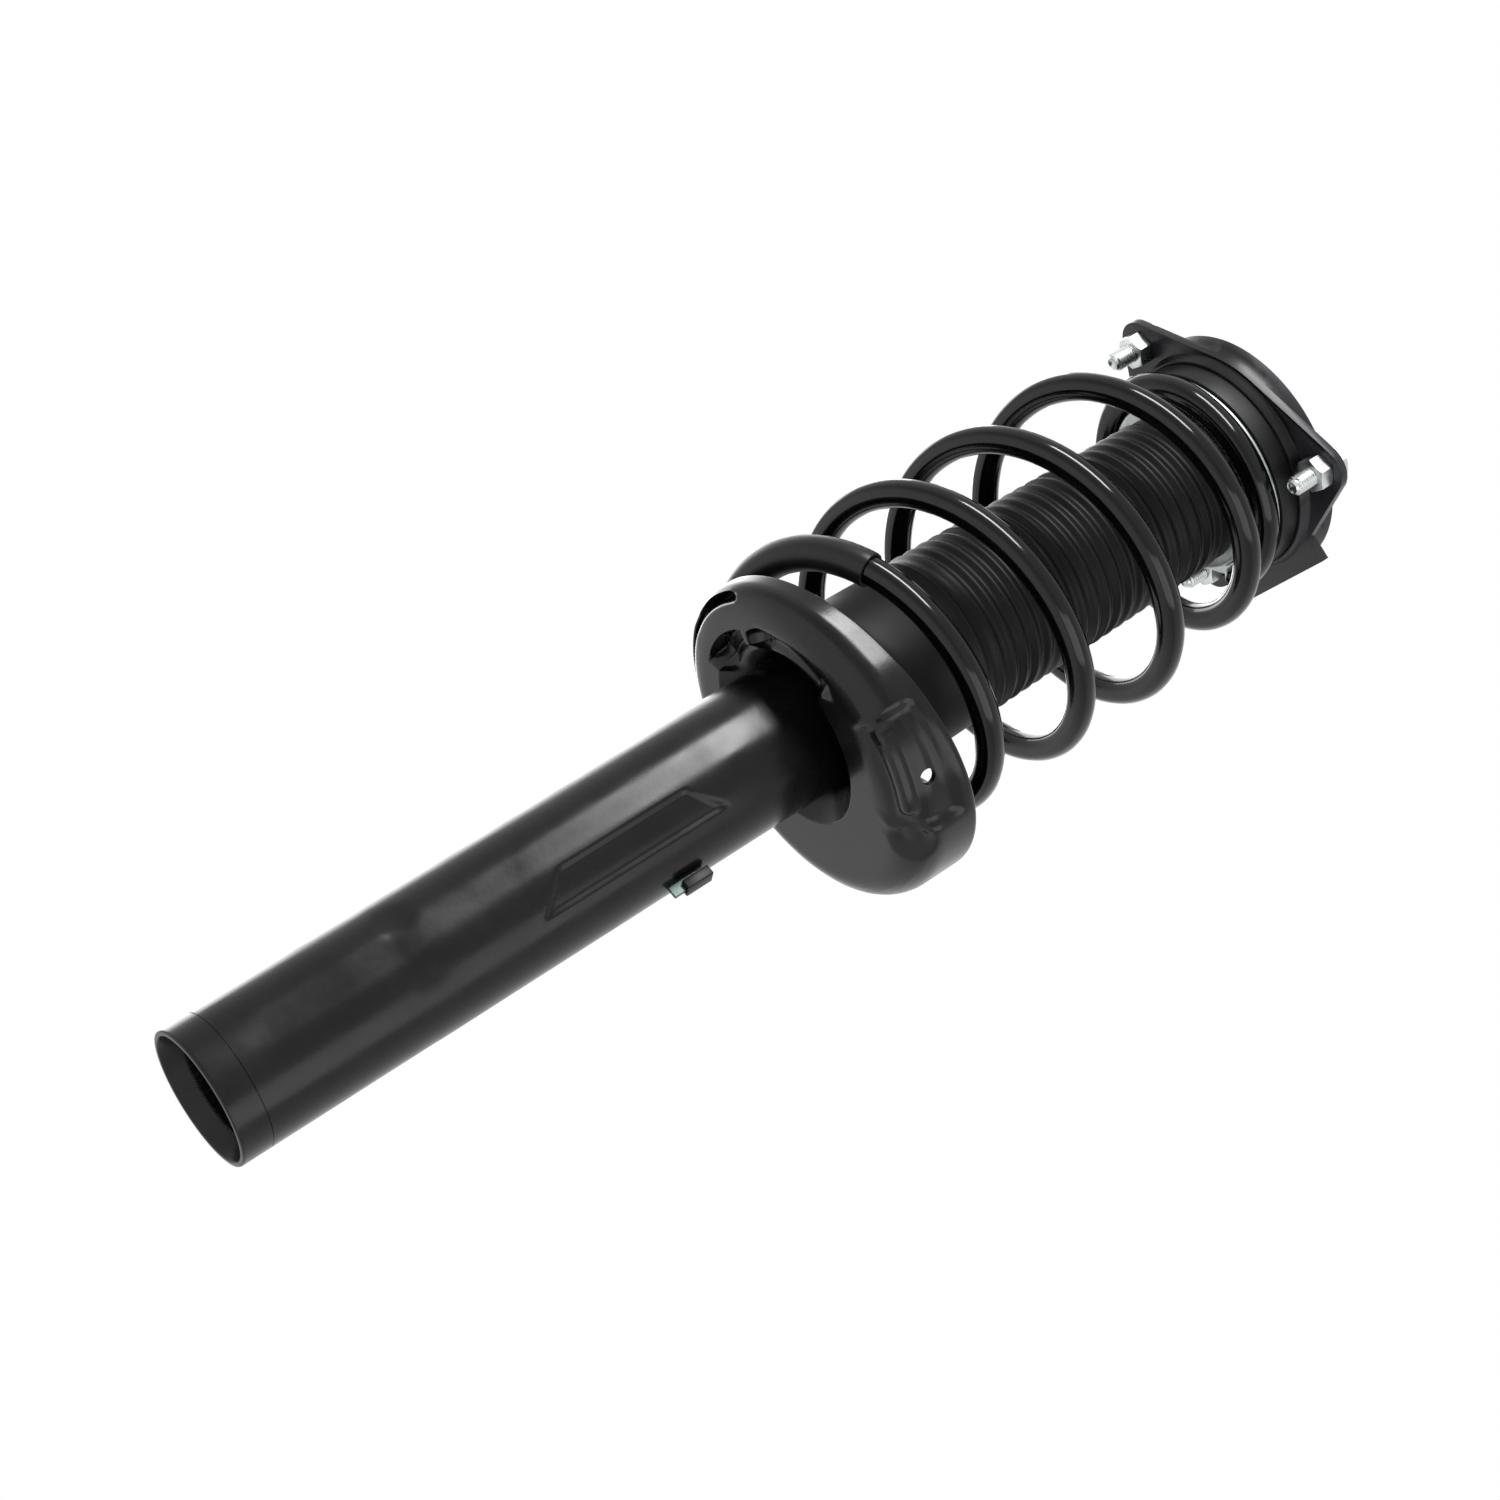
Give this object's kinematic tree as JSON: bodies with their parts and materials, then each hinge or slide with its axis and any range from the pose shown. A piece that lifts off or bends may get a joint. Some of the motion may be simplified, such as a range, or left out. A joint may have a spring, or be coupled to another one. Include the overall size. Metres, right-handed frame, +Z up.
{
  "type": "suspension strut",
  "caption": "Clamp-in front suspension strut: twin-tube damper, coil spring on a spiral pressed seat, ribbed dust boot, and a three-lobed rubber top mount with a steering bearing.",
  "frame": {"origin": "centre of the damper tube's open lower end", "axes": "+Z up the strut's axis towards the top mount, +Y out of the side with the stamped pocket in the tube, +X towards the lower side of the spring seat's rim"},
  "size_m": [0.1458, 0.1389, 0.5354],
  "materials": {
    "tube_black": "satin black paint over steel",
    "seat_black": "semi-gloss black cathodic dip over pressed steel",
    "spring_black": "gloss black powder coat",
    "sleeve_black": "satin black rubber sleeve",
    "boot_black": "matt black moulded rubber",
    "zinc": "zinc-plated steel, faint grey-green",
    "zinc_bolt": "bright zinc plate",
    "mount_black": "satin black rubber over a steel stamping",
    "core_rubber": "matt black rubber",
    "foam": "closed-cell polyurethane foam, pale ochre",
    "chrome_rod": "hard chrome, ground",
    "bare_steel": "bare machined steel",
    "sinter": "sintered iron",
    "bronze": "bronze-backed bush",
    "seal_rubber": "nitrile rubber",
    "plastic": "glass-filled nylon, black",
    "cage_nylon": "natural nylon",
    "ball_steel": "polished bearing steel"
  },
  "bodies": {
    "strut_body": {"outer_tube": "tube_black", "base_cup": "tube_black", "working_cylinder": "bare_steel", "foot_valve": "sinter", "rod_guide": "sinter", "guide_bush": "bronze", "rod_seal": "seal_rubber", "end_cap": "plastic", "lower_seat": "seat_black", "line_tab": "zinc", "line_clip": "plastic", "coil_spring": "spring_black", "coil_sleeve": "sleeve_black"},
    "spring_top": {"upper_plate": "zinc", "lower_race": "bare_steel", "dust_boot": "boot_black", "bump_stop": "foam"},
    "ball_ring": {"ball_cage": "cage_nylon", "bearing_balls": "ball_steel"},
    "mount_and_rod": {"piston_rod": "chrome_rod", "piston": "sinter", "piston_nut": "zinc_bolt", "rebound_stop": "plastic", "upper_race": "plastic", "mount_plate": "mount_black", "mount_rubber": "core_rubber", "inner_sleeve": "bare_steel", "rod_nut": "zinc_bolt", "tower_bolts": "zinc_bolt", "tower_nuts": "zinc_bolt"}
  },
  "joints": [
    {"name": "strut_slide", "type": "slide", "parent": "strut_body", "child": "spring_top", "axis": [0, 0, 1], "range_m": [-0.11, 0], "stiffness_N_per_m": 25000, "springref_m": 0.05, "deforming": ["coil_spring", "coil_sleeve", "dust_boot", "bump_stop"]},
    {"name": "mount_swivel", "type": "hinge", "parent": "spring_top", "child": "mount_and_rod", "pos_m": [0, 0, 0.4928], "axis": [0, 0, 1], "range_deg": [-40, 40]},
    {"name": "ball_roll", "type": "hinge", "parent": "spring_top", "child": "ball_ring", "pos_m": [0, 0, 0.4928], "axis": [0, 0, 1], "range_deg": [-20, 20]}
  ],
  "couplings": [
    {"joint": "ball_roll", "follows": "mount_swivel", "ratio": 0.5}
  ]
}
